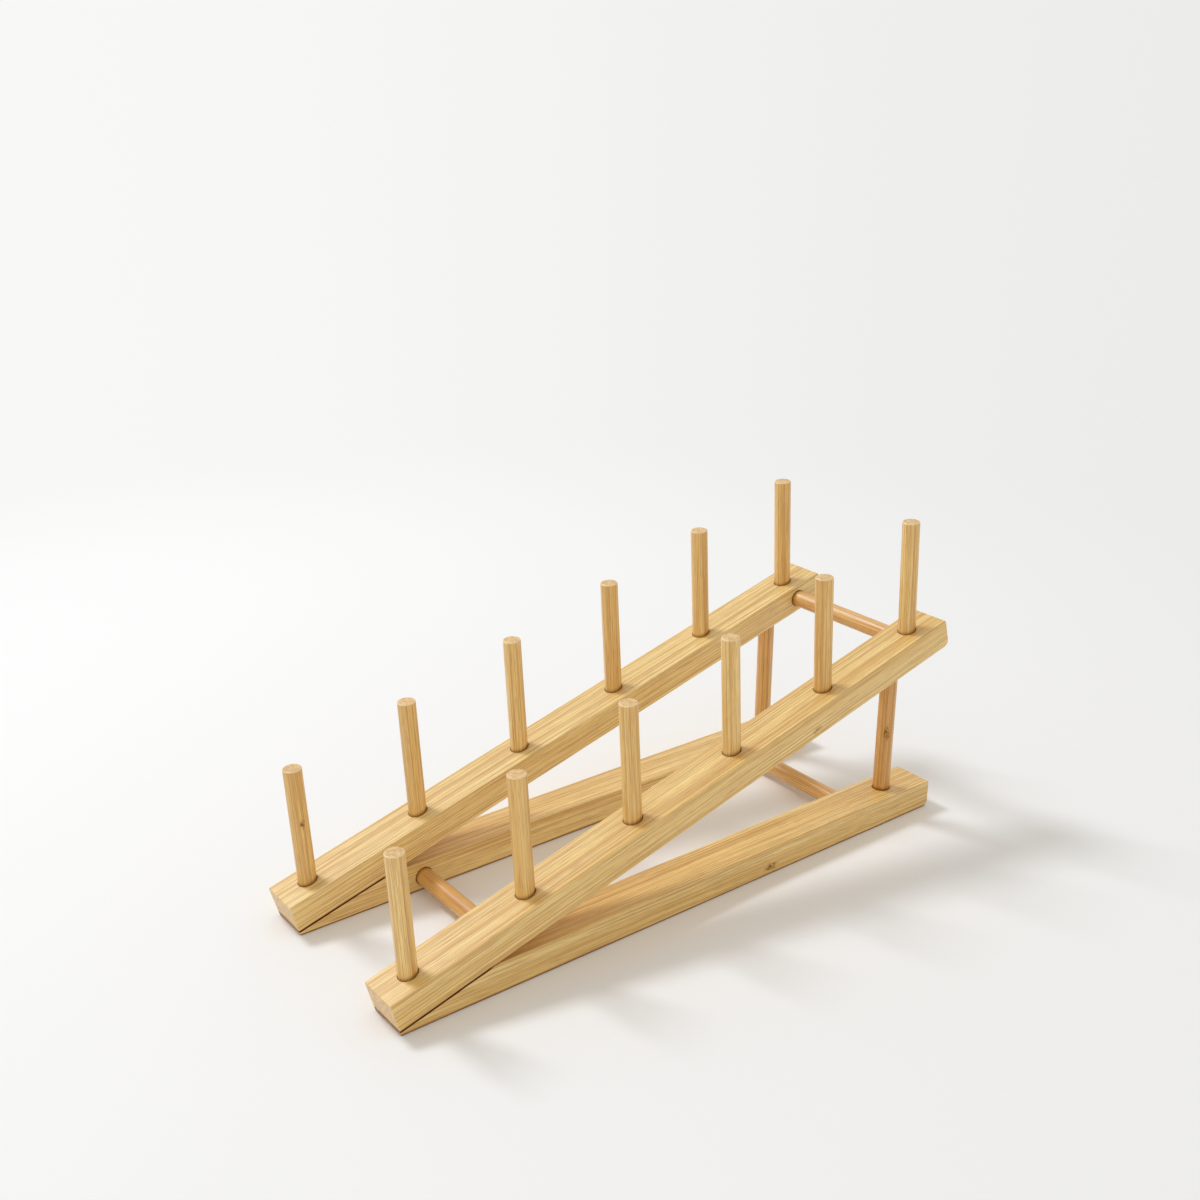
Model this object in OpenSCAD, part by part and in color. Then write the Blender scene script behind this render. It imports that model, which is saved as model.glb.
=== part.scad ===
// Tabletop plate rack in bamboo: two wedge-shaped side frames tied by cross dowels.
// Each frame is a base rail, a sloped rail that lies on the base rail's slanted front end,
// a post between them at the back, and six pegs that keep the plates apart.
// +X runs from the low front end to the high back end, +Y from the right frame to the left,
// and +Z is up. The origin is on the table, below the middle of the whole rack.

/* [Rails] */
// Width of both rails, across the rack
rail_w = 25; // [20:0.5:36]
// Thickness of both rails
rail_t = 16.4; // [15:0.2:22]
// Angle of the sloped rails above the table
slope_angle = 15.2; // [12:0.2:18]
// Height of the blunt front end that the base rail keeps under the sloped rail
tip_land = 2.4; // [1:0.2:5]
// How far the base rail stops short of the sloped rail's lower back edge
base_setback = 7; // [0:0.5:20]
// Rounding of the rails' upper long edges
upper_edge_r = 0.8; // [0.4:0.1:2.5]
// Rounding of the rails' lower long edges
lower_edge_r = 0.5; // [0.2:0.1:1.5]
// Rounding of the upright edges at the rails' front ends
front_edge_r = 0.4; // [0.2:0.1:2]
// Rounding of the upright edges at the rails' back ends
back_edge_r = 0.8; // [0.4:0.1:3]
// Rounding of the sloped rail's upper back corner
slope_top_corner_r = 1.2; // [0.5:0.1:5]
// Rounding of the sloped rail's lower back corner
slope_low_corner_r = 4; // [1:0.5:7]
// Rounding of the base rail's upper back corner
base_top_corner_r = 1.2; // [0.5:0.1:5]
// Rounding of the base rail's lower back corner
base_low_corner_r = 4; // [1:0.5:8]

/* [Side frames] */
// Clear distance between the two side frames
frame_gap = 78.4; // [50:0.2:160]

/* [Dowels] */
// Diameter of the dowel stock of pegs, posts and cross dowels
dowel_d = 10; // [7:0.2:12]
// Glue clearance around a dowel in its hole, on the radius
glue_gap = 0.05; // [0.02:0.01:0.1]

/* [Pegs] */
// Distance between neighbouring pegs along the sloped rail
peg_pitch = 70; // [50:0.5:90]
// Distance from the sloped rail's front end to the first peg
front_inset = 17.3; // [14:0.1:28]
// Distance from the last peg to the sloped rail's back end
rear_inset = 20.2; // [16:0.1:40]
// Length of a peg above the sloped rail
peg_height = 66.9; // [40:0.1:120]
// Lean of the pegs from upright, towards the front
peg_lean = 3; // [0:0.5:8]
// Depth of a peg's blind hole
peg_seat = 8; // [6:0.5:9]
// Rounding of a peg's top edge
peg_tip_r = 0.8; // [0.3:0.1:2]

/* [Posts] */
// Distance from the base rail's back end to the post
post_inset = 29; // [24:0.5:60]
// Depth of a post's blind hole in each rail
post_seat = 6; // [4:0.5:7]

/* [Cross dowels] */
// Distance from the base rail's back end to the rear cross dowel
rear_cross_inset = 51; // [15:0.5:90]
// Distance from the base rail's front end to the front cross dowel
front_cross_inset = 75; // [70:0.5:120]
// Wood left between the end of a cross dowel and the pegs and posts
end_wall = 1; // [0.5:0.1:3]

/* [Screws] */
// Distance from the base rail's front end to the screw
screw_inset = 32; // [28:0.5:42]
// Overall length of the screw
screw_len = 19; // [16:0.5:21]
// Diameter of the screw's shank
screw_d = 3.5; // [3:0.1:4]
// Diameter of the screw's countersunk head
screw_head_d = 7; // [6:0.1:8]
// Depth of the head below the base rail's underside
screw_recess = 0.6; // [0.3:0.1:1.5]
// Length of the screw's pointed tip
screw_point = 4; // [2:0.5:6]
// Length of each arm of the head's cross recess, end to end
drive_slot_len = 3; // [2:0.1:3.2]
// Width of each arm of the head's cross recess
drive_slot_w = 1; // [0.6:0.1:1.2]
// Depth of the head's cross recess
drive_slot_depth = 1.2; // [0.6:0.1:1.4]

/* [Hidden] */
$fn = 64;
cut = 1;
peg_count = 6;
RIGHT = -1;
LEFT = 1;
BAMBOO = [0.84, 0.67, 0.42];
DOWEL = [0.82, 0.63, 0.37];
STEEL = [0.72, 0.72, 0.74];

dowel_r = dowel_d / 2;
hole_r = dowel_r + glue_gap;
slope_len = front_inset + (peg_count - 1) * peg_pitch + rear_inset;
base_len = slope_len * cos(slope_angle) - base_setback;
// Where the base rail reaches its full thickness behind the slanted joint
joint_end = (rail_t - tip_land) / tan(slope_angle);
// Where the base rail's front end, flush with the sloped rail's, reaches the table
tip_foot = tip_land * tan(slope_angle);
post_x = base_len - post_inset;
rear_cross_x = base_len - rear_cross_inset;
// Depth of a cross dowel's blind hole in each rail
cross_seat = rail_w / 2 - hole_r - end_wall;
// Outermost points of the sloped rail's rounded end corners, and the middle between them
slope_front_x = -rail_t * sin(slope_angle);
slope_back_x = (slope_len - slope_low_corner_r) * cos(slope_angle)
    - slope_low_corner_r * sin(slope_angle) + slope_low_corner_r;
middle_x = (slope_front_x + slope_back_x) / 2;

// Height of the sloped rail's underside at a distance x behind the front tip
function underside_z(x) = tip_land + x * tan(slope_angle);

// Y of the middle of one side frame
function frame_y(side) = side * (frame_gap + rail_w) / 2;

// Distance of peg i from the sloped rail's front end
function peg_s(i) = front_inset + (i - 1) * peg_pitch;

// The rack is laid out from its front tip, then moved so that the origin is below its middle
module from_tip() {
    translate([-middle_x, 0, 0]) children();
}

// Frame of one sloped rail: X along its underside from the front end, Z square to the rail
module along_slope(side) {
    from_tip()
        translate([0, frame_y(side), tip_land])
            rotate([0, -slope_angle, 0]) children();
}

// Frame of one base rail: X along the table from the front end
module along_base(side) {
    from_tip()
        translate([0, frame_y(side), 0]) children();
}

// What a rounded corner loses. The corner is at the origin, with its edges along +X and +Y.
module corner_waste(r) {
    difference() {
        translate([-cut, -cut]) square(r + cut);
        translate([r, r]) circle(r);
    }
}

// Cross-section of a rail, with its four long edges rounded. It spans z from 0 to rail_t.
module rail_section() {
    difference() {
        translate([-rail_w / 2, 0]) square([rail_w, rail_t]);
        for (m = [0, 1]) mirror([m, 0]) {
            translate([-rail_w / 2, 0]) corner_waste(lower_edge_r);
            translate([-rail_w / 2, rail_t]) mirror([0, 1]) corner_waste(upper_edge_r);
        }
    }
}

// Plan of a rail, with its four upright end edges rounded
module rail_plan(length) {
    difference() {
        translate([0, -rail_w / 2]) square([length, rail_w]);
        for (m = [0, 1]) mirror([0, m]) {
            translate([0, -rail_w / 2]) corner_waste(front_edge_r);
            translate([length, -rail_w / 2]) mirror([1, 0]) corner_waste(back_edge_r);
        }
    }
}

// A rail: the side outline given as children, cut to the rail's section and plan
module rail(length) {
    intersection() {
        translate([0, rail_w / 2 + cut, 0])
            rotate([90, 0, 0]) linear_extrude(rail_w + 2 * cut) children();
        translate([-cut, 0, 0])
            rotate([90, 0, 90]) linear_extrude(length + 2 * cut) rail_section();
        translate([0, 0, -cut])
            linear_extrude(rail_t + 2 * cut) rail_plan(length);
    }
}

module slope_outline() {
    difference() {
        square([slope_len, rail_t]);
        translate([slope_len, 0]) mirror([1, 0]) corner_waste(slope_low_corner_r);
        translate([slope_len, rail_t]) rotate(180) corner_waste(slope_top_corner_r);
    }
}

module base_outline() {
    difference() {
        polygon([
            [tip_foot, 0],
            [base_len, 0],
            [base_len, rail_t],
            [joint_end, rail_t],
            [0, tip_land]
        ]);
        translate([base_len, 0]) mirror([1, 0]) corner_waste(base_low_corner_r);
        translate([base_len, rail_t]) rotate(180) corner_waste(base_top_corner_r);
    }
}

// A dowel or its hole, upright from z = 0
module dowel(length, r) {
    cylinder(h = length, r = r);
}

// Frame of one peg: Z up its leaning axis, from the floor of its blind hole
module at_peg(side, i) {
    along_slope(side)
        translate([peg_s(i), 0, rail_t])
            rotate([0, slope_angle - peg_lean, 0])
                translate([0, 0, -peg_seat]) children();
}

// Frame of one post: Z up from the floor of its hole in the base rail
module at_post(side) {
    along_base(side)
        translate([post_x, 0, rail_t - post_seat]) children();
}

// Frame of a cross dowel: Z across the rack, from the floor of its hole in the right frame
module across(x, z) {
    from_tip()
        translate([x, -frame_gap / 2 - cross_seat, z])
            rotate([-90, 0, 0]) children();
}

module at_front_cross() {
    across(front_cross_inset, rail_t / 2) children();
}

module at_rear_cross() {
    across(rear_cross_x, rail_t / 2) children();
}

// The upper cross dowel is in line with the last pegs, where no plate's rim can strike it
module at_upper_cross() {
    s = peg_s(peg_count);
    across(
        s * cos(slope_angle) - rail_t / 2 * sin(slope_angle),
        tip_land + s * sin(slope_angle) + rail_t / 2 * cos(slope_angle)
    ) children();
}

// Frame of one screw: Z up its axis, from the flat of its head
module at_screw(side) {
    along_base(side)
        translate([screw_inset, 0, screw_recess]) children();
}

// A screw grown by gap all round, from the flat of its head to its point
module screw_body(gap) {
    head_r = screw_head_d / 2 + gap;
    shank_r = screw_d / 2 + gap;
    cylinder(h = head_r - shank_r, r1 = head_r, r2 = shank_r);
    cylinder(h = screw_len - screw_point, r = shank_r);
    translate([0, 0, screw_len - screw_point])
        cylinder(h = screw_point, r1 = shank_r, r2 = screw_d / 8 + gap);
}

post_len = underside_z(post_x) - rail_t + 2 * post_seat;
cross_len = frame_gap + 2 * cross_seat;

// Sloped rail, with blind holes for the pegs on top, for the post below and for the upper
// cross dowel in its inner face, and a pilot hole for the screw
module slope_rail(side) {
    color(BAMBOO)
    difference() {
        along_slope(side) rail(slope_len) slope_outline();
        for (i = [1:peg_count]) at_peg(side, i) dowel(peg_seat + rail_t, hole_r);
        at_post(side) dowel(post_len, hole_r);
        at_upper_cross() dowel(cross_len, hole_r);
        at_screw(side) screw_body(glue_gap);
    }
}

// Base rail, with its front end cut on the slant, blind holes for the post and the two
// lower cross dowels, and a countersunk hole for the screw
module base_rail(side) {
    color(BAMBOO)
    difference() {
        along_base(side) rail(base_len) base_outline();
        at_post(side) dowel(post_len, hole_r);
        at_front_cross() dowel(cross_len, hole_r);
        at_rear_cross() dowel(cross_len, hole_r);
        at_screw(side) screw_body(glue_gap);
        at_screw(side) translate([0, 0, -screw_recess - cut])
            cylinder(h = screw_recess + cut, r = screw_head_d / 2 + glue_gap);
    }
}

// Peg with a rounded top edge, standing on the floor of its blind hole
module peg(side, i) {
    length = peg_seat + peg_height;
    color(DOWEL)
    at_peg(side, i)
        rotate_extrude()
            difference() {
                square([dowel_r, length]);
                translate([dowel_r, length]) rotate(180) corner_waste(peg_tip_r);
            }
}

// Post, on the floor of its hole in the base rail and up to the one in the sloped rail
module post(side) {
    color(DOWEL)
    at_post(side) dowel(post_len, dowel_r);
}

module front_cross_dowel() {
    color(DOWEL)
    at_front_cross() dowel(cross_len, dowel_r);
}

module rear_cross_dowel() {
    color(DOWEL)
    at_rear_cross() dowel(cross_len, dowel_r);
}

module upper_cross_dowel() {
    color(DOWEL)
    at_upper_cross() dowel(cross_len, dowel_r);
}

// One countersunk screw up through each slanted joint, with a cross recess in its head
module front_screws() {
    color(STEEL)
    for (side = [RIGHT, LEFT])
        at_screw(side)
            difference() {
                screw_body(0);
                for (a = [0, 90])
                    rotate([0, 0, a])
                        translate([-drive_slot_len / 2, -drive_slot_w / 2, -cut])
                            cube([drive_slot_len, drive_slot_w, drive_slot_depth + cut]);
            }
}

slope_rail(RIGHT);  // right_slope_rail
slope_rail(LEFT);  // left_slope_rail
base_rail(RIGHT);  // right_base_rail
base_rail(LEFT);  // left_base_rail
for (i = [1:peg_count]) peg(RIGHT, i);
for (i = [1:peg_count]) peg(LEFT, i);
post(RIGHT);  // right_post
post(LEFT);  // left_post
front_cross_dowel();
rear_cross_dowel();
upper_cross_dowel();
front_screws();
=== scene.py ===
"""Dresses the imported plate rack: bamboo rails, pegs, posts and cross dowels, and two wood screws.

+X runs from the low front end to the high back end, +Y from the right side frame to the left,
and +Z is up. All lengths are in metres.
"""
import math
from collections import namedtuple

import bmesh
import bpy
from mathutils import Matrix, Vector, noise


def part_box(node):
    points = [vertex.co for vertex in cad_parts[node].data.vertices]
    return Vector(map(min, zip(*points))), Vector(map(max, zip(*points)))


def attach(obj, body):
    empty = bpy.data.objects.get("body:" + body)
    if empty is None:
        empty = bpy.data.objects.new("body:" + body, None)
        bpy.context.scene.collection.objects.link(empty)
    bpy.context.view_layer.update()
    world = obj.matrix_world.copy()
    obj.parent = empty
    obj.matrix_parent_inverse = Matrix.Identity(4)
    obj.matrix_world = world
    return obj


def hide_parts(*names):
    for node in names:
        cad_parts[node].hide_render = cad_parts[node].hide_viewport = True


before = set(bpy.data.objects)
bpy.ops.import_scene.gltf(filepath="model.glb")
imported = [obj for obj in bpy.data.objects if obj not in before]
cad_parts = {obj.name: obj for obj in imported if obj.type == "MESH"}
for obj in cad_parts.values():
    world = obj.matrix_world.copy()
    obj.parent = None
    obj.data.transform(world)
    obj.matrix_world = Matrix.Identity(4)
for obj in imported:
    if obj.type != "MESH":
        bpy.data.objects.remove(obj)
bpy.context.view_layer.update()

MM = 0.001
BODY = "root"
SIDES = ("right", "left")
CROSS_DOWELS = ("front_cross_dowel", "rear_cross_dowel", "upper_cross_dowel")

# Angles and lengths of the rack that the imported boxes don't give
SLOPE_ANGLE = math.radians(15.2)
TIP_LAND = 2.4 * MM
PEG_LEAN = math.radians(3)
PEG_COUNT = 6
PEG_PITCH = 70 * MM
FRONT_INSET = 17.3 * MM
REAR_INSET = 20.2 * MM
PEG_HEIGHT = 66.9 * MM
PEG_SEAT = 8 * MM
DOWEL_R = 5 * MM
GLUE_GAP = 0.05 * MM
SLOPE_LEN = FRONT_INSET + (PEG_COUNT - 1) * PEG_PITCH + REAR_INSET

# Rounding of the rails' edges and end corners
UPPER_EDGE = 0.8 * MM
LOWER_EDGE = 0.5 * MM
FRONT_EDGE = 0.4 * MM
BACK_EDGE = 0.8 * MM
FRONT_ARRIS = 0.4 * MM
CUT_ARRIS = 0.12 * MM
JOINT_EDGE = 0.35 * MM
SLOPE_TOP_CORNER = 1.2 * MM
SLOPE_LOW_CORNER = 4 * MM
BASE_TOP_CORNER = 1.2 * MM
BASE_LOW_CORNER = 4 * MM

# Easing of hole mouths and dowel ends
MOUTH_EASE = 0.35 * MM
PEG_TIP_R = 0.8 * MM
DOWEL_FOOT_R = 0.4 * MM

# Wood screws
SCREW_R = 1.75 * MM
SCREW_POINT = 4 * MM
SCREW_TIP_R = 0.15 * MM
SCREW_RIM = 0.25 * MM
SCREW_RIM_EASE = 0.12 * MM
THREAD_ROOT_R = 1.25 * MM
THREAD_PITCH = 1.4 * MM
THREAD_START = 5 * MM
THREAD_RUN_IN = 1.5 * MM
RIDGE_SHARE = 0.2
DRIVE_ARM = 1.5 * MM
DRIVE_HALF_W = 0.5 * MM
DRIVE_DEPTH = 1.2 * MM
DRIVE_TAPER = 0.45

# Mesh density
ARC_STEPS = 6
EASE_STEPS = 3
HOLE_STEPS = 64
DOWEL_STEPS = 72
SCREW_STEPS = 48
STATION_STEP = 6 * MM
STATION_GAP = 0.02 * MM
DOWEL_STEP = 4 * MM
THREAD_STEP = 0.1 * MM
CUT_CLEAR = 2 * MM
WELD = 0.002 * MM
SMOOTH_ANGLE = math.radians(35)

# Length over which the base rail's tip goes from the sloped rail's lean to upright
TIP_LEAN_RUN = 6 * MM

# Sanding marks: how far edges and dowels stray from their true form, and over what length.
# The seeds keep the four long edges of a rail, and the dowels, from straying alike.
EDGE_STRAY = 0.15
EDGE_STRAY_RUN = 25 * MM
LOWER_EDGE_SEEDS = (0.3, 0.6)
UPPER_EDGE_SEEDS = (0.1, 0.8)
DOWEL_STRAY = 0.025 * MM
DOWEL_STRAY_RUN = 40 * MM
DOWEL_STRAY_ROUND = 3
DOWEL_SEED_STEP = 7

# Strips that the rails are laminated from: width, and the darkest and lightest
STRIP_W = 5.6 * MM
STRIP_LEVELS = (0.96, 1.02)

# Marks in the bamboo: length along the grain, and width across it both ways
SWAY_SIZE = (180 * MM, 30 * MM, 30 * MM)
TONE_SIZE = (420 * MM, 3.2 * MM, 3.2 * MM)
BAND_SIZE = (160 * MM, 1.1 * MM, 1.1 * MM)
FIBRE_SIZE = (50 * MM, 0.38 * MM, 0.38 * MM)
PORE_SIZE = (12 * MM, 0.26 * MM, 0.26 * MM)
VEIN_SIZE = (240 * MM, 1.2 * MM, 1.2 * MM)
VEIN_BREAK_SIZE = (30 * MM, 1 * MM, 1 * MM)
END_SPECK_SIZE = (30 * MM, 0.7 * MM, 0.7 * MM)
END_PATCH_SIZE = (30 * MM, 2.2 * MM, 2.2 * MM)
KNOT_EDGE_SIZE = (2.4 * MM, 1.1 * MM, 1.1 * MM)
KNOT_SPECK_SIZE = (2.2 * MM, 0.7 * MM, 0.7 * MM)
GLUE_WANDER_SIZE = (14 * MM, 2 * MM, 2 * MM)

# How far the grain and the glue line stray sideways, and how deep the grain is felt
GRAIN_SWAY = 1.6 * MM
KNOT_RIPPLE = 0.35 * MM
KNOT_RIPPLE_PITCH = 1.7 * MM
GLUE_WANDER = 0.36 * MM
GRAIN_RELIEF = 0.06 * MM

# Reach of worn edges with their painted highlight, and of the painted shade in corners
WEAR_AND_HIGHLIGHT_REACH = 0.8 * MM
RAIL_SHADE_REACH = 1.4 * MM
DOWEL_SHADE_REACH = 3.4 * MM

# Marks in the screws' zinc: mottle, fine rings of turning, worn edges and relief
ZINC_MOTTLE_SIZE = (1.2 * MM, 1.2 * MM, 1.2 * MM)
ZINC_TURNING_SIZE = (8 * MM, 8 * MM, 0.12 * MM)
ZINC_WEAR_REACH = 0.4 * MM
ZINC_RELIEF = 0.02 * MM

# Height above the table at which the painted contact shadow begins and is full, and distance from
# the glued face at which a glue mark begins and is full.
# The glue fades out from short of the joint's end to just past it.
FOOT_SHADOW = (1.3 * MM, 0.6 * MM)
GLUE_LINE = (0.76 * MM, 0.62 * MM)
GLUE_SOAK = (1.15 * MM, 0.85 * MM)
GLUE_SHORT = 2 * MM
GLUE_PAST = 3 * MM

# Seeds of the pieces' marks. The stride spreads the pieces' own shades evenly.
SLOPE_SEED = 1
BASE_SEED = 6
DOWEL_SEED = 10
SLOPE_EDGE_SEED = 3.0
BASE_EDGE_SEED = 7.0
SHADE_STRIDE = 0.618

# Rail sizes and places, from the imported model
base_low, base_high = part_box("right_base_rail")
FRONT_X = base_low.x
BASE_LEN = base_high.x - base_low.x
RAIL_W = base_high.y - base_low.y
RAIL_T = base_high.z - base_low.z
JOINT_LEN = (RAIL_T - TIP_LAND) / math.tan(SLOPE_ANGLE)

# Knots, small brown scars where the cane had a joint. The middle is in the piece's own frame,
# the length runs along the grain, and the depth goes from 0, faint, to 1, dark.
Knot = namedtuple("Knot", "middle length width depth")
KNOTS = {
    "right_slope_rail": Knot((277.8 * MM, -RAIL_W / 2, 4.6 * MM), 9 * MM, 3.6 * MM, 0.8),
    "right_base_rail": Knot((235.7 * MM, -RAIL_W / 2, 4.5 * MM), 12 * MM, 5.5 * MM, 1.0),
    "left_peg_1": Knot((44.5 * MM, -5 * MM, 0.3 * MM), 7 * MM, 3.6 * MM, 0.8),
    "right_post": Knot((43.6 * MM, -4 * MM, 3 * MM), 13 * MM, 5 * MM, 1.0),
}

# Camera, fitted to the photograph's 1200 x 1200 frame
CAMERA_PLACE = (-450.56 * MM, -566.24 * MM, 429.96 * MM)
CAMERA_AZIMUTH = math.radians(-37.335)
CAMERA_ELEVATION = math.radians(20.757)
CAMERA_LENS = 43.62
CAMERA_SENSOR = 36

# Light: one soft lamp from the left and behind, and an even sky. Their faint tints cancel out
# on the lit floor, and leave the shade a little warm.
KEY_FROM = Vector((-0.38, 0.925, 1.28)).normalized()
KEY_DISTANCE = 3.2
KEY_SIZE = 0.72
KEY_POWER = 40.0
KEY_TINT = (1.0, 1.03, 1.11)
AMBIENT = 0.66
AMBIENT_TINT = (1.0, 0.985, 0.945, 1.0)

# Floor and background
FLOOR_REACH = 6.0
FLOOR_FADE = (0.4, 1.0)
FLOOR_GRAIN_SIZE = (0.7 * MM, 0.7 * MM, 0.7 * MM)
FLOOR_RELIEF = 0.05 * MM
BACKDROP_SPAN = (-0.38, 0.42)


def srgb(red, green, blue):
    """A colour given as 0 to 255 screen values, as the linear RGBA that shaders take."""
    def linear(value):
        value = value / 255
        return value / 12.92 if value <= 0.04045 else ((value + 0.055) / 1.055) ** 2.4
    return (linear(red), linear(green), linear(blue), 1.0)


# Bamboo
PALE = srgb(254, 225, 153)
HONEY = srgb(238, 196, 114)
AMBER = srgb(204, 151, 75)
PORE = srgb(178, 124, 60)
BROWN = srgb(146, 94, 44)
# Painted shade in corners, the painted contact shadow, and glue soaked into the wood
SHADE_AND_STAIN = srgb(132, 72, 4)
GLUE = srgb(84, 30, 0)
# Pale edges: partly wear, partly a painted highlight
WORN_AND_HIGHLIGHT = srgb(255, 232, 184)
KNOT_SPECK = srgb(94, 42, 4)
END_GRAIN = srgb(243, 206, 150)
END_SPECK = srgb(176, 134, 90)

# What the bamboo's colours are multiplied by in the pegs, and in the posts and cross dowels, whose
# darker, redder tint is partly their wood's tone and partly painted shade
PEG_TINT = (1.0, 0.955, 0.92, 1.0)
TIE_TONE_AND_SHADE = (0.88, 0.74, 0.64, 1.0)

# Surroundings, and the screws
FLOOR = srgb(248, 248, 247)
BACKDROP_LEFT = srgb(248, 248, 247)
# Painted shade: the glowing background is darker towards the right
BACKDROP_RIGHT = srgb(236, 236, 235)
ZINC = srgb(206, 206, 210)
ZINC_DULL = srgb(168, 168, 174)
ZINC_BRIGHT = srgb(232, 232, 234)


class Graph:
    """Shader nodes of one material or world, in calls that read like formulas."""

    def __init__(self, owner):
        owner.use_nodes = True
        self.tree = owner.node_tree
        self.tree.nodes.clear()

    def feed(self, socket, value):
        if isinstance(value, bpy.types.NodeSocket):
            self.tree.links.new(value, socket)
        elif value is not None:
            socket.default_value = value

    def node(self, kind, inputs=None, **settings):
        made = self.tree.nodes.new("ShaderNode" + kind)
        for key, value in settings.items():
            setattr(made, key, value)
        for key, value in (inputs or {}).items():
            self.feed(made.inputs[key], value)
        return made

    def math(self, operation, *values, clamp=False):
        made = self.node("Math", dict(enumerate(values)), operation=operation, use_clamp=clamp)
        return made.outputs[0]

    def product(self, first, *others):
        for other in others:
            first = self.math("MULTIPLY", first, other)
        return first

    def vector(self, operation, *values):
        made = self.node("VectorMath", dict(enumerate(values)), operation=operation)
        return made.outputs["Value" if operation in ("LENGTH", "DOT_PRODUCT") else "Vector"]

    def part(self, vector, axis):
        return self.node("SeparateXYZ", {0: vector}).outputs[axis]

    def noise(self, place, size, detail=2.0):
        """Noise from 0 to 1 whose features have the given size along X, Y and Z."""
        inputs = {"Vector": self.vector("DIVIDE", place, size), "Scale": 1.0, "Detail": detail}
        return self.node("TexNoise", inputs).outputs[0]

    def cells(self, place, size):
        """Distance from the nearest of scattered points, and a random value for each point."""
        inputs = {"Vector": self.vector("DIVIDE", place, size), "Scale": 1.0}
        made = self.node("TexVoronoi", inputs, feature="F1")
        split = self.node("SeparateColor", {"Color": made.outputs["Color"]})
        return made.outputs["Distance"], split.outputs[0]

    def span(self, value, start, end, low, high):
        """A value mapped evenly from start and end to low and high."""
        inputs = {"Value": value, "From Min": start, "From Max": end,
                  "To Min": low, "To Max": high}
        return self.node("MapRange", inputs).outputs[0]

    def ease(self, value, start, end):
        """A smooth step of value, 0 at start and 1 at end."""
        inputs = {"Value": value, "From Min": start, "From Max": end}
        return self.node("MapRange", inputs, interpolation_type="SMOOTHSTEP").outputs[0]

    def mix(self, amount, first, second, blend="MIX"):
        inputs = {0: amount, 6: first, 7: second}
        return self.node("Mix", inputs, data_type="RGBA", blend_type=blend).outputs[2]

    def layer(self, color, amount, most, second):
        """A second colour laid over the first, by amount times most."""
        return self.mix(self.product(amount, most), color, second)

    def openness(self, distance, inside=False):
        """How open the surface is, 1 in the open. Inside, it falls near outer edges instead."""
        made = self.node("AmbientOcclusion", {"Distance": distance}, samples=8, inside=inside)
        return made.outputs["AO"]


def knot_scar(g, place, own, knot):
    """How brown a knot makes each point: 0 outside its ragged edge, and its depth inside."""
    away = g.vector("SUBTRACT", place, knot.middle)
    half = (knot.length / 2, knot.width / 2, knot.width / 2)
    reach = g.vector("LENGTH", g.vector("DIVIDE", away, half))
    ragged = g.noise(own, KNOT_EDGE_SIZE, detail=1.0)
    reach = g.math("ADD", reach, g.span(ragged, 0.3, 0.7, -0.3, 0.3))
    return g.product(g.ease(reach, 1.0, 0.1), knot.depth)


def grain_shift(g, own, scar):
    """How far the grain strays sideways. It ripples across a knot's scar."""
    sway = g.math("SUBTRACT", g.noise(own, SWAY_SIZE), 0.5)
    drift = g.product(sway, GRAIN_SWAY)
    if scar is not None:
        turn = g.math("SINE", g.product(g.part(own, "X"), math.tau / KNOT_RIPPLE_PITCH))
        drift = g.math("ADD", drift, g.product(turn, scar, KNOT_RIPPLE))
    return g.node("CombineXYZ", {"Y": drift, "Z": g.product(drift, 0.7)}).outputs[0]


def cane(g, grain, own, pale_end):
    """The cane's colour, and the tone, fibres and dark veins that it is made of."""
    tone = g.noise(grain, TONE_SIZE)
    color = g.mix(g.ease(tone, pale_end, pale_end + 0.64), PALE, HONEY)
    band = g.noise(grain, BAND_SIZE, detail=1.0)
    color = g.layer(color, g.ease(band, 0.5, 0.65), 0.62, AMBER)
    fibre = g.noise(grain, FIBRE_SIZE, detail=1.0)
    color = g.layer(color, g.ease(fibre, 0.5, 0.64), 0.66, AMBER)
    pores = g.noise(grain, PORE_SIZE, detail=1.0)
    color = g.layer(color, g.ease(pores, 0.56, 0.66), 0.45, PORE)

    reach, chance = g.cells(grain, VEIN_SIZE)
    whole = g.ease(g.noise(own, VEIN_BREAK_SIZE), 0.32, 0.55)
    vein = g.product(g.ease(reach, 0.2, 0.1), g.ease(chance, 0.3, 0.9), whole)
    return g.layer(color, vein, 0.85, BROWN), tone, fibre, vein


def laminated(g, color, across, tone, seed):
    """Strips side by side, each a little lighter or darker, with broken seams between them."""
    count = g.math("ADD", g.math("DIVIDE", across, STRIP_W), 0.5)
    pick = g.math("ADD", g.math("FLOOR", count), 17.0 * seed)
    pick = g.node("TexWhiteNoise", {"W": pick}, noise_dimensions="1D").outputs["Value"]
    level = g.span(pick, 0, 1, *STRIP_LEVELS)
    level = g.node("CombineColor", {0: level, 1: level, 2: level}).outputs[0]
    color = g.mix(1.0, color, level, blend="MULTIPLY")
    seam = g.math("ABSOLUTE", g.math("SUBTRACT", g.math("FRACT", count), 0.5))
    seam = g.product(g.ease(seam, 0.472, 0.488), g.ease(tone, 0.35, 0.6))
    return g.layer(color, seam, 0.6, BROWN)


def knotted(g, color, own, scar):
    """The brown of a knot, with dark specks in it."""
    specks = g.ease(g.noise(own, KNOT_SPECK_SIZE, detail=1.0), 0.46, 0.58)
    rim = g.product(g.ease(scar, 0.62, 0.78), g.ease(scar, 0.97, 0.86))
    pit = g.product(specks, g.math("MAXIMUM", scar, rim))
    color = g.layer(color, scar, 0.6, PORE)
    return g.layer(color, pit, 0.92, KNOT_SPECK)


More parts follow.
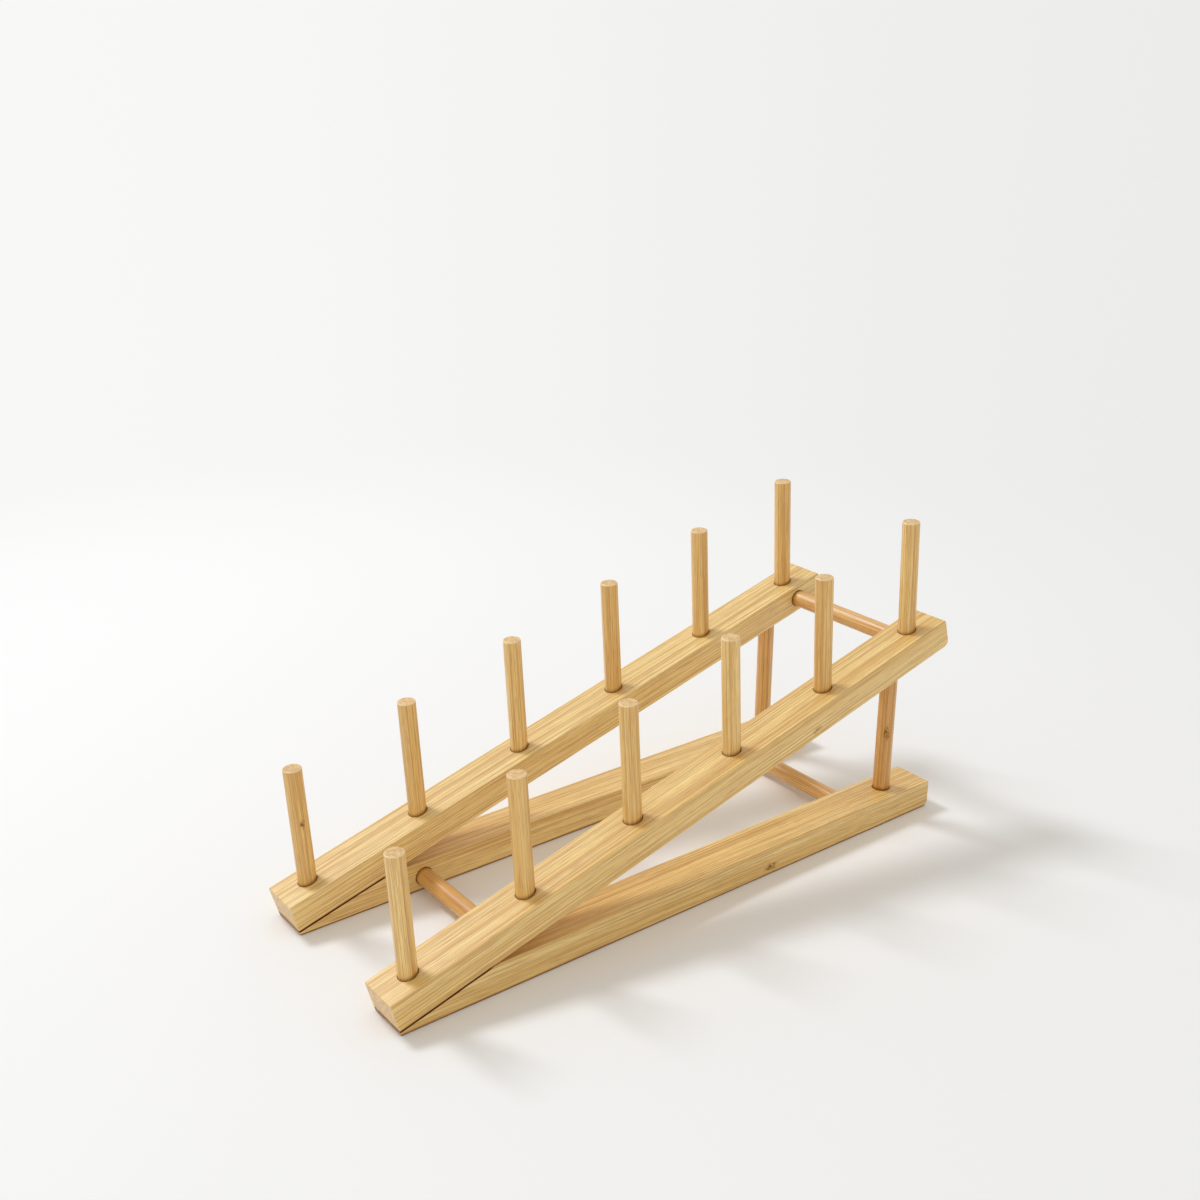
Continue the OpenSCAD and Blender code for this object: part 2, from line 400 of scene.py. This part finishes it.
def end_grain(g, color, own):
    """The colour of a cut end, and the specks of the fibres that end there."""
    reach, chance = g.cells(own, END_SPECK_SIZE)
    speck = g.product(g.ease(reach, 0.42, 0.2), g.ease(chance, 0.0, 0.8))
    color = g.layer(g.mix(0.35, END_GRAIN, color), speck, 0.6, END_SPECK)
    patch = g.ease(g.noise(own, END_PATCH_SIZE), 0.42, 0.62)
    return g.layer(color, patch, 0.4, END_SPECK), speck


def glue_marks(g, place, own, joint):
    """The line of glue along a rail's glued face, and the wood that is soaked beside it."""
    slope, start, length = joint
    square = Vector((-slope, 0, 1)).normalized()
    away = g.math("SUBTRACT", g.vector("DOT_PRODUCT", place, square), start * square.z)
    uneven = g.product(g.noise(own, GLUE_WANDER_SIZE), GLUE_WANDER)
    away = g.math("ADD", g.math("ABSOLUTE", away), uneven)
    reached = g.ease(g.part(place, "X"), length + GLUE_PAST, length - GLUE_SHORT)
    line = g.product(g.ease(away, *GLUE_LINE), reached)
    soaked = g.product(g.ease(away, *GLUE_SOAK), reached)
    return line, soaked


def bamboo(name, seed, tint=None, joint=None, stands=False):
    """Satin bamboo with its grain along the piece's own X, and the piece's knot if it has one.

    A dowel gives tint, which its whole colour is multiplied by.
    A rail gives joint, the slope and height of its glued face at x = 0 and the face's length.
    It is laminated from strips side by side, and has a dark glue line along that face.
    A rail that stands on the table has a painted contact shadow along its lowest edge.
    """
    rail = joint is not None
    knot = KNOTS.get(name)
    material = bpy.data.materials.new(name)
    g = Graph(material)
    coords = g.node("TexCoord")
    place = coords.outputs["Object"]
    normal = coords.outputs["Normal"]
    own = g.vector("ADD", place, (0.37 * seed, 0.11 * seed, 0.19 * seed))
    scar = knot_scar(g, place, own, knot) if knot else None
    shift = grain_shift(g, own, scar)

    shade = SHADE_STRIDE * seed % 1 - 0.5
    pale_end = 0.22 - 0.3 * shade - (0 if rail else 0.1)
    color, tone, fibre, vein = cane(g, g.vector("ADD", own, shift), own, pale_end)
    if rail:
        across = g.part(g.vector("ADD", place, shift), "Y")
        color = laminated(g, color, across, tone, seed)
    else:
        color = g.mix(1.0, color, tint, blend="MULTIPLY")
    if knot:
        color = knotted(g, color, own, scar)

    slant = g.math("ABSOLUTE", g.part(normal, "X"))
    end = g.ease(slant, 0.72, 0.95)
    end_color, speck = end_grain(g, color, own)
    color = g.mix(end, color, end_color)
    if not rail:
        # Painted highlight on the rounding of a dowel's ends
        rim = g.product(g.ease(slant, 0.2, 0.5), g.ease(slant, 0.98, 0.86))
        color = g.layer(color, rim, 0.6, WORN_AND_HIGHLIGHT)
    # Edges paled partly by wear and partly by a painted highlight
    edge = g.ease(g.openness(WEAR_AND_HIGHLIGHT_REACH, inside=True), 0.84, 0.48)
    color = g.layer(color, edge, 0.75, WORN_AND_HIGHLIGHT)

    # Painted shade: darker where corners, creases and a dowel's foot are closed in
    if rail:
        painted_shade_and_marks = g.ease(g.openness(RAIL_SHADE_REACH), 0.82, 0.42)
    else:
        painted_shade_and_marks = g.ease(g.openness(DOWEL_SHADE_REACH), 0.96, 0.55)
    color = g.layer(color, painted_shade_and_marks, 0.8, SHADE_AND_STAIN)
    if stands:
        # Painted contact shadow along the lowest edge, where the rail meets the table
        upright = g.ease(g.part(normal, "Z"), -0.85, -0.4)
        foot = g.product(g.ease(g.part(place, "Z"), *FOOT_SHADOW), upright)
        color = g.layer(color, foot, 0.85, SHADE_AND_STAIN)
        painted_shade_and_marks = g.math("MAXIMUM", painted_shade_and_marks, foot)
    if rail:
        line, soaked = glue_marks(g, place, own, joint)
        color = g.layer(color, soaked, 0.4, SHADE_AND_STAIN)
        color = g.layer(color, line, 0.97, GLUE)
        painted_shade_and_marks = g.math("MAXIMUM", painted_shade_and_marks, line)
    if knot:
        painted_shade_and_marks = g.math("MAXIMUM", painted_shade_and_marks, scar)

    gloss = g.math("MULTIPLY_ADD", fibre, 0.16, 0.38)
    gloss = g.math("MULTIPLY_ADD", end, 0.2, gloss, clamp=True)
    height = g.math("MULTIPLY_ADD", vein, -0.5, fibre)
    height = g.math("MULTIPLY_ADD", g.product(speck, end), -0.8, height)
    relief = g.node("Bump", {"Height": height, "Strength": 0.35, "Distance": GRAIN_RELIEF})
    sheen = g.product(g.math("SUBTRACT", 1.0, painted_shade_and_marks), 0.5)
    shader = g.node("BsdfPrincipled", {"Base Color": color, "Roughness": gloss,
                                       "Normal": relief.outputs[0],
                                       "Specular IOR Level": sheen, "Coat Weight": sheen,
                                       "Coat Roughness": 0.3})
    g.node("OutputMaterial", {"Surface": shader.outputs[0]})
    return material


def zinc_steel():
    """Zinc plating, worn bright along its edges, with a mottled gloss and faint turning marks."""
    material = bpy.data.materials.new("zinc_steel")
    g = Graph(material)
    place = g.node("TexCoord").outputs["Object"]
    mottle = g.noise(place, ZINC_MOTTLE_SIZE, detail=3.0)
    turning = g.noise(place, ZINC_TURNING_SIZE, detail=1.0)
    color = g.layer(ZINC, mottle, 0.4, ZINC_DULL)
    edge = g.ease(g.openness(ZINC_WEAR_REACH, inside=True), 0.8, 0.45)
    color = g.layer(color, edge, 0.7, ZINC_BRIGHT)
    gloss = g.math("MULTIPLY_ADD", mottle, 0.3, 0.2)
    gloss = g.math("MULTIPLY_ADD", edge, -0.1, gloss, clamp=True)
    relief = g.node("Bump", {"Height": turning, "Strength": 0.2, "Distance": ZINC_RELIEF})
    shader = g.node("BsdfPrincipled", {"Base Color": color, "Metallic": 1.0,
                                       "Roughness": gloss, "Normal": relief.outputs[0]})
    g.node("OutputMaterial", {"Surface": shader.outputs[0]})
    return material


def arc(steps):
    """Sine and cosine over a quarter turn, in even steps."""
    angles = [math.radians(90 * k / steps) for k in range(steps + 1)]
    return [(math.sin(angle), math.cos(angle)) for angle in angles]


def around(steps):
    """Cosine and sine over a full turn, in even steps."""
    angles = [math.tau * k / steps for k in range(steps)]
    return [(math.cos(angle), math.sin(angle)) for angle in angles]


def loft(rings):
    """A closed bmesh through rings of points, with a flat cap at each end."""
    made = bmesh.new()
    rows = [[made.verts.new(point) for point in ring] for ring in rings]
    for row, following in zip(rows, rows[1:]):
        for k in range(len(row)):
            nxt = (k + 1) % len(row)
            made.faces.new((row[k], row[nxt], following[nxt], following[k]))
    made.faces.new(rows[0])
    made.faces.new(rows[-1])
    bmesh.ops.recalc_face_normals(made, faces=made.faces)
    return made


def as_mesh(name, *solids):
    """One mesh that holds all the given bmeshes."""
    mesh = bpy.data.meshes.new(name)
    joined = bmesh.new()
    for solid in solids:
        solid.to_mesh(mesh)
        solid.free()
        joined.from_mesh(mesh)
    joined.to_mesh(mesh)
    joined.free()
    return mesh


def cut(mesh, cutter):
    """The mesh with the cutter taken away, and any points that fall together welded."""
    whole = bpy.data.objects.new("whole", mesh)
    tool = bpy.data.objects.new("tool", cutter)
    for temporary in (whole, tool):
        bpy.context.scene.collection.objects.link(temporary)
    step = whole.modifiers.new("cut", "BOOLEAN")
    step.object = tool
    step.operation = "DIFFERENCE"
    step.solver = "EXACT"
    depsgraph = bpy.context.evaluated_depsgraph_get()
    result = bpy.data.meshes.new_from_object(whole.evaluated_get(depsgraph))
    for temporary in (whole, tool):
        bpy.data.objects.remove(temporary)
    welded = bmesh.new()
    welded.from_mesh(result)
    bmesh.ops.dissolve_degenerate(welded, dist=WELD, edges=welded.edges)
    welded.to_mesh(result)
    welded.free()
    return result


def add_piece(node, mesh, matrix, material):
    """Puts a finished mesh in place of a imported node, on the rack's body."""
    mesh.shade_smooth()
    mesh.set_sharp_from_angle(angle=SMOOTH_ANGLE)
    mesh.materials.clear()
    mesh.materials.append(material)
    piece = bpy.data.objects.new(node + "_finished", mesh)
    bpy.context.scene.collection.objects.link(piece)
    piece.matrix_world = matrix
    normals = piece.modifiers.new("flat_faces", "WEIGHTED_NORMAL")
    normals.keep_sharp = True
    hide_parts(node)
    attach(piece, BODY)


def middle(node):
    """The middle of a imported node's box."""
    low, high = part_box(node)
    return (low + high) / 2


def frame_y(side):
    """Y of the middle of one side frame."""
    return middle(side + "_base_rail").y


def along_slope(side):
    """Frame of a sloped rail: X along its underside from the front end, Z square to it."""
    move = Matrix.Translation((FRONT_X, frame_y(side), TIP_LAND))
    return move @ Matrix.Rotation(-SLOPE_ANGLE, 4, "Y")


def along_base(side):
    """Frame of a base rail: X along the table from the front end."""
    return Matrix.Translation((FRONT_X, frame_y(side), 0))


def peg_mouth(number):
    """Frame of a peg's hole in its rail's frame: Z along the peg, from the rail's top."""
    move = Matrix.Translation((FRONT_INSET + (number - 1) * PEG_PITCH, 0, RAIL_T))
    return move @ Matrix.Rotation(SLOPE_ANGLE - PEG_LEAN, 4, "Y")


def at_screw(side):
    """Frame of one screw: Z up its axis, from the flat of its head."""
    low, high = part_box("front_screws")
    return Matrix.Translation(((low.x + high.x) / 2, frame_y(side), low.z))


def set_back(distance, radius):
    """How far a rounded corner stands back, at a distance from the end that it rounds."""
    if distance >= radius:
        return 0.0
    return radius - math.sqrt(max(0.0, radius**2 - (radius - distance) ** 2))


def strayed(radius, x, seed):
    """An edge's rounding, which wanders a little along the rail as hand sanding leaves it."""
    return radius * (1 + EDGE_STRAY * noise.noise(Vector((x / EDGE_STRAY_RUN, seed, 0))))


def section(half_width, low, top, low_radii, top_radii):
    """Points (y, z) round a rail's cross-section, with its four long edges eased."""
    corners = (
        (1, low, 1, low_radii[0], -90),
        (1, top, -1, top_radii[0], 0),
        (-1, top, -1, top_radii[1], 90),
        (-1, low, 1, low_radii[1], 180),
    )
    points = []
    for across, edge, up, radius, start in corners:
        y = across * (half_width - radius)
        z = edge + up * radius
        for k in range(ARC_STEPS + 1):
            angle = math.radians(start + 90 * k / ARC_STEPS)
            points.append((y + radius * math.cos(angle), z + radius * math.sin(angle)))
    return points


def stations(length, front_radii, back_radii, others=()):
    """Places along a rail for its cross-sections, close together where a corner is rounded."""
    count = round(length / STATION_STEP)
    places = [length * k / count for k in range(count + 1)] + list(others)
    for _, cosine in arc(ARC_STEPS):
        places += [radius * (1 - cosine) for radius in front_radii]
        places += [length - radius * (1 - cosine) for radius in back_radii]
    kept = [0.0]
    for place in sorted(places):
        if place - kept[-1] > STATION_GAP:
            kept.append(place)
    kept[-1] = length
    return kept


def slope_rings(seed):
    """Cross-sections of a sloped rail, from its front end to its back end."""
    rings = []
    places = stations(SLOPE_LEN, (FRONT_ARRIS, FRONT_EDGE),
                      (SLOPE_TOP_CORNER, SLOPE_LOW_CORNER, BACK_EDGE))
    for x in places:
        back = SLOPE_LEN - x
        front = set_back(x, FRONT_ARRIS)
        top = RAIL_T - set_back(back, SLOPE_TOP_CORNER) - front
        low = set_back(back, SLOPE_LOW_CORNER) + front
        half = RAIL_W / 2 - set_back(back, BACK_EDGE) - set_back(x, FRONT_EDGE)
        low_radii = [strayed(LOWER_EDGE, x, seed + k) for k in LOWER_EDGE_SEEDS]
        top_radii = [strayed(UPPER_EDGE, x, seed + k) for k in UPPER_EDGE_SEEDS]
        rings.append([(x, y, z) for y, z in section(half, low, top, low_radii, top_radii)])
    return rings


def base_rings(seed):
    """Cross-sections of a base rail, whose front end is cut to the slope.

    The blunt tip that is left leans back, flush with the sloped rail's end.
    """
    rise = math.tan(SLOPE_ANGLE)
    run_out = [JOINT_LEN - UPPER_EDGE / rise * k / ARC_STEPS for k in range(ARC_STEPS + 1)]
    places = stations(BASE_LEN, (CUT_ARRIS, FRONT_EDGE),
                      (BASE_TOP_CORNER, BASE_LOW_CORNER, BACK_EDGE), run_out)
    rings = []
    for x in places:
        back = BASE_LEN - x
        lean = rise * max(0.0, 1 - x / TIP_LEAN_RUN)
        cut_z = TIP_LAND + x * rise
        full = min(1.0, max(0.0, 1 - (RAIL_T - cut_z) / UPPER_EDGE))
        front = set_back(x, CUT_ARRIS)
        top = min(RAIL_T, cut_z) - set_back(back, BASE_TOP_CORNER) - front
        low = set_back(back, BASE_LOW_CORNER) + front
        half = RAIL_W / 2 - set_back(back, BACK_EDGE) - set_back(x, FRONT_EDGE)
        low_radii = [strayed(LOWER_EDGE, x, seed + k) for k in LOWER_EDGE_SEEDS]
        top_radii = [JOINT_EDGE + full * (strayed(UPPER_EDGE, x, seed + k) - JOINT_EDGE)
                     for k in UPPER_EDGE_SEEDS]
        ring = section(half, low, top, low_radii, top_radii)
        rings.append([(x + lean * (cut_z - z), y, z) for y, z in ring])
    return rings


def hole(matrix, depth, tilt=0.0):
    """A cutter for a dowel's blind hole, with an eased mouth.

    Z points out of the wood along the hole, and the wood's face climbs by tilt along X.
    """
    radius = DOWEL_R + GLUE_GAP
    climb = math.tan(tilt)

    def ring(reach, lift, follows=1.0):
        return [matrix @ Vector((reach * c, reach * s, lift + follows * climb * reach * c))
                for c, s in around(HOLE_STEPS)]

    rings = [ring(radius, -depth, follows=0.0)]
    for sine, cosine in arc(EASE_STEPS):
        rings.append(ring(radius + MOUTH_EASE * (1 - cosine), MOUTH_EASE * (sine - 1)))
    rings.append(ring(radius + MOUTH_EASE, CUT_CLEAR))
    return loft(rings)


def turned(profile, matrix):
    """A solid turned about Z, from a profile of (radius, height)."""
    return loft([[matrix @ Vector((radius * c, radius * s, height))
                  for c, s in around(SCREW_STEPS)] for radius, height in profile])


def screw_size():
    """A screw's head radius and overall length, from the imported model."""
    low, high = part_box("front_screws")
    return (high.x - low.x) / 2, high.z - low.z


def screw_hole(matrix):
    """A cutter for a screw's countersunk hole. Z points up into the wood from the head."""
    head_r, length = screw_size()
    wide, narrow = head_r + GLUE_GAP, SCREW_R + GLUE_GAP
    profile = (
        (wide, -CUT_CLEAR),
        (wide, SCREW_RIM),
        (narrow, SCREW_RIM + wide - narrow),
        (narrow, length - SCREW_POINT),
        (SCREW_TIP_R + GLUE_GAP, length + GLUE_GAP),
    )
    return turned(profile, matrix)


def dowel_rings(length, tip_r, seed):
    """Rings of a turned dowel along X, slightly out of true, with both ends eased."""
    count = round(length / DOWEL_STEP)
    foot_r = DOWEL_FOOT_R
    foot = [(foot_r * (1 - sine), foot_r * (1 - cosine)) for sine, cosine in arc(ARC_STEPS)]
    tip = [(length - tip_r * (1 - sine), tip_r * (1 - cosine)) for sine, cosine in arc(ARC_STEPS)]
    body = [(foot_r + (length - foot_r - tip_r) * k / count, 0.0) for k in range(1, count)]
    rings = []
    for x, drop in foot[::-1] + body + tip:
        along = x / DOWEL_STRAY_RUN + DOWEL_SEED_STEP * seed
        ring = []
        for c, s in around(DOWEL_STEPS):
            spot = Vector((DOWEL_STRAY_ROUND * c, DOWEL_STRAY_ROUND * s, along))
            radius = DOWEL_R - drop + DOWEL_STRAY * noise.noise(spot)
            ring.append((x, radius * c, radius * s))
        rings.append(ring)
    return rings


def cross_hole(node, side, rail_frame):
    """A cutter for a cross dowel's blind hole in the inner face of one rail."""
    inward = 1 if side == "right" else -1
    low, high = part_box(node)
    face_y = frame_y(side) + inward * RAIL_W / 2
    end_y = low.y if side == "right" else high.y
    centre = middle(node)
    turn = Matrix.Rotation(math.radians(-90 * inward), 4, "X")
    mouth = Matrix.Translation((centre.x, face_y, centre.z)) @ turn
    return hole(rail_frame.inverted() @ mouth, abs(end_y - face_y))


def make_rail(name, rings, holes, matrix, material):
    """One rail, drilled and put in place."""
    mesh = cut(as_mesh(name, loft(rings)), as_mesh("holes", *holes))
    add_piece(name, mesh, matrix, material)


def make_rails():
    """The four rails, drilled for what stands in them."""
    slope_joint = (0.0, 0.0, JOINT_LEN / math.cos(SLOPE_ANGLE))
    base_joint = (math.tan(SLOPE_ANGLE), TIP_LAND, JOINT_LEN)
    for index, side in enumerate(SIDES):
        post_low, post_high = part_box(side + "_post")
        post_x = middle(side + "_post").x
        y = frame_y(side)

        slope = along_slope(side)
        under_z = TIP_LAND + (post_x - FRONT_X) * math.tan(SLOPE_ANGLE)
        post_top = Matrix.Translation((post_x, y, under_z)) @ Matrix.Rotation(math.pi, 4, "X")
        holes = [hole(peg_mouth(number), PEG_SEAT, SLOPE_ANGLE - PEG_LEAN)
                 for number in range(1, PEG_COUNT + 1)]
        holes.append(hole(slope.inverted() @ post_top, post_high.z - under_z, -SLOPE_ANGLE))
        holes.append(cross_hole("upper_cross_dowel", side, slope))
        holes.append(screw_hole(slope.inverted() @ at_screw(side)))
        name = side + "_slope_rail"
        wood = bamboo(name, SLOPE_SEED + index, joint=slope_joint)
        make_rail(name, slope_rings(SLOPE_EDGE_SEED + index), holes, slope, wood)

        base = along_base(side)
        post_foot = Matrix.Translation((post_x, y, RAIL_T))
        holes = [hole(base.inverted() @ post_foot, RAIL_T - post_low.z)]
        holes.append(cross_hole("front_cross_dowel", side, base))
        holes.append(cross_hole("rear_cross_dowel", side, base))
        holes.append(screw_hole(base.inverted() @ at_screw(side)))
        name = side + "_base_rail"
        wood = bamboo(name, BASE_SEED + index, joint=base_joint, stands=True)
        make_rail(name, base_rings(BASE_EDGE_SEED + index), holes, base, wood)


def dowels():
    """Each dowel's name, length, rounding of its far end, frame and tint."""
    upright = Matrix.Rotation(math.radians(-90), 4, "Y")
    across = Matrix.Rotation(math.radians(90), 4, "Z")
    for side in SIDES:
        for number in range(1, PEG_COUNT + 1):
            foot = peg_mouth(number) @ Matrix.Translation((0, 0, -PEG_SEAT)) @ upright
            matrix = along_slope(side) @ foot
            yield f"{side}_peg_{number}", PEG_SEAT + PEG_HEIGHT, PEG_TIP_R, matrix, PEG_TINT
    for side in SIDES:
        name = side + "_post"
        low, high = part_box(name)
        centre = middle(name)
        matrix = Matrix.Translation((centre.x, centre.y, low.z)) @ upright
        yield name, high.z - low.z, DOWEL_FOOT_R, matrix, TIE_TONE_AND_SHADE
    for name in CROSS_DOWELS:
        low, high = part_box(name)
        centre = middle(name)
        matrix = Matrix.Translation((centre.x, low.y, centre.z)) @ across
        yield name, high.y - low.y, DOWEL_FOOT_R, matrix, TIE_TONE_AND_SHADE


def make_dowels():
    """Pegs, and the posts and cross dowels, which look darker in the photograph."""
    for seed, (name, length, tip_r, matrix, tint) in enumerate(dowels(), DOWEL_SEED):
        mesh = as_mesh(name, loft(dowel_rings(length, tip_r, seed)))
        add_piece(name, mesh, matrix, bamboo(name, seed, tint=tint))


def drive_ring(share, height):
    """The cross-shaped outline of the drive recess, drawn in by share."""
    arm, half = DRIVE_ARM * share, DRIVE_HALF_W * share
    corner = ((arm, -half), (arm, half), (half, half))
    points = []
    for quarter in range(4):
        turn = Matrix.Rotation(math.radians(90 * quarter), 4, "Z")
        points += [turn @ Vector((x, y, height)) for x, y in corner]
    return points


def screw_mesh():
    """A countersunk wood screw, point up: eased rim, cone, plain neck and a helical thread."""
    head_r, length = screw_size()
    cone_end = SCREW_RIM + head_r - THREAD_ROOT_R
    rings = [(head_r - SCREW_RIM_EASE, 0.0), (head_r, SCREW_RIM_EASE), (head_r, SCREW_RIM),
             (THREAD_ROOT_R, cone_end)]
    rings = [[(r * c, r * s, z) for c, s in around(SCREW_STEPS)] for r, z in rings]
    count = round((length - THREAD_START) / THREAD_STEP)
    for k in range(count + 1):
        z = THREAD_START + (length - THREAD_START) * k / count
        to_tip = min(1.0, (length - z) / SCREW_POINT)
        root = SCREW_TIP_R + (THREAD_ROOT_R - SCREW_TIP_R) * to_tip
        crest = (SCREW_R - THREAD_ROOT_R) * to_tip * min(1.0, (z - THREAD_START) / THREAD_RUN_IN)
        ring = []
        for n, (c, s) in enumerate(around(SCREW_STEPS)):
            phase = (z / THREAD_PITCH - n / SCREW_STEPS) % 1
            radius = root + crest * max(0.0, 1 - abs(phase - 0.5) / RIDGE_SHARE)
            ring.append((radius * c, radius * s, z))
        rings.append(ring)
    recess = loft([drive_ring(1.0, -CUT_CLEAR), drive_ring(1.0, 0.0),
                   drive_ring(DRIVE_TAPER, DRIVE_DEPTH)])
    return cut(as_mesh("screw", loft(rings)), as_mesh("recess", recess))


def make_screws():
    """Both screws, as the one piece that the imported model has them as."""
    screw = screw_mesh()
    both = bmesh.new()
    for side in SIDES:
        copy = screw.copy()
        copy.transform(at_screw(side))
        both.from_mesh(copy)
    add_piece("front_screws", as_mesh("screws", both), Matrix.Identity(4), zinc_steel())


def backdrop_color(g, direction):
    """The background's colour, a little darker to the right of the photograph's view."""
    # The darkening to the right is painted shade
    rightward = (math.cos(CAMERA_AZIMUTH), math.sin(CAMERA_AZIMUTH), 0)
    flat = g.vector("NORMALIZE", g.vector("MULTIPLY", direction, (1, 1, 0)))
    toward = g.vector("DOT_PRODUCT", flat, rightward)
    return g.mix(g.ease(toward, *BACKDROP_SPAN), BACKDROP_LEFT, BACKDROP_RIGHT)


def make_stage():
    """A pale floor that fades into an even pale background far from the rack."""
    corners = ((-1, -1), (1, -1), (1, 1), (-1, 1))
    solid = bmesh.new()
    solid.faces.new([solid.verts.new((FLOOR_REACH * x, FLOOR_REACH * y, 0)) for x, y in corners])
    mesh = as_mesh("floor", solid)
    material = bpy.data.materials.new("floor")
    g = Graph(material)
    place = g.node("TexCoord").outputs["Object"]
    grain = g.noise(place, FLOOR_GRAIN_SIZE)
    relief = g.node("Bump", {"Height": grain, "Strength": 0.05, "Distance": FLOOR_RELIEF})
    paper = g.node("BsdfPrincipled", {"Base Color": FLOOR, "Roughness": 0.7,
                                      "Normal": relief.outputs[0]})
    from_camera = g.vector("SUBTRACT", place, CAMERA_PLACE)
    glow = g.node("Emission", {"Color": backdrop_color(g, from_camera), "Strength": 1.0})
    rays = g.node("LightPath").outputs
    seen = g.math("MAXIMUM", rays["Is Camera Ray"], rays["Is Glossy Ray"])
    seen = g.math("MAXIMUM", seen, rays["Is Transmission Ray"])
    fade = g.product(g.ease(g.vector("LENGTH", place), *FLOOR_FADE), seen)
    blend = g.node("MixShader", {0: fade, 1: paper.outputs[0], 2: glow.outputs[0]})
    g.node("OutputMaterial", {"Surface": blend.outputs[0]})
    mesh.materials.append(material)
    floor = bpy.data.objects.new("floor", mesh)
    bpy.context.scene.collection.objects.link(floor)


def make_light():
    """One soft lamp from the left and behind, and an even soft sky."""
    lamp = bpy.data.lights.new("key", "AREA")
    lamp.shape = "SQUARE"
    lamp.size = KEY_SIZE
    lamp.energy = KEY_POWER
    lamp.color = KEY_TINT
    key = bpy.data.objects.new("key", lamp)
    bpy.context.scene.collection.objects.link(key)
    key.location = KEY_FROM * KEY_DISTANCE
    key.rotation_euler = KEY_FROM.to_track_quat("Z", "Y").to_euler()

    world = bpy.data.worlds.new("studio")
    bpy.context.scene.world = world
    g = Graph(world)
    direction = g.node("TexCoord").outputs["Generated"]
    sky = g.node("Background", {"Color": AMBIENT_TINT, "Strength": AMBIENT})
    backdrop = g.node("Background", {"Color": backdrop_color(g, direction), "Strength": 1.0})
    rays = g.node("LightPath").outputs
    blend = g.node("MixShader", {0: rays["Is Camera Ray"], 1: sky.outputs[0],
                                 2: backdrop.outputs[0]})
    g.node("OutputWorld", {"Surface": blend.outputs[0]})


def make_camera():
    """The photograph's view of the rack."""
    data = bpy.data.cameras.new("camera")
    data.sensor_width = CAMERA_SENSOR
    data.lens = CAMERA_LENS
    camera = bpy.data.objects.new("camera", data)
    bpy.context.scene.collection.objects.link(camera)
    back = Vector((math.sin(CAMERA_AZIMUTH) * math.cos(CAMERA_ELEVATION),
                   -math.cos(CAMERA_AZIMUTH) * math.cos(CAMERA_ELEVATION),
                   math.sin(CAMERA_ELEVATION)))
    camera.location = CAMERA_PLACE
    camera.rotation_euler = back.to_track_quat("Z", "Y").to_euler()
    bpy.context.scene.camera = camera


make_camera()
make_light()
make_stage()
make_rails()
make_dowels()
make_screws()
bpy.context.scene.view_settings.view_transform = "Standard"
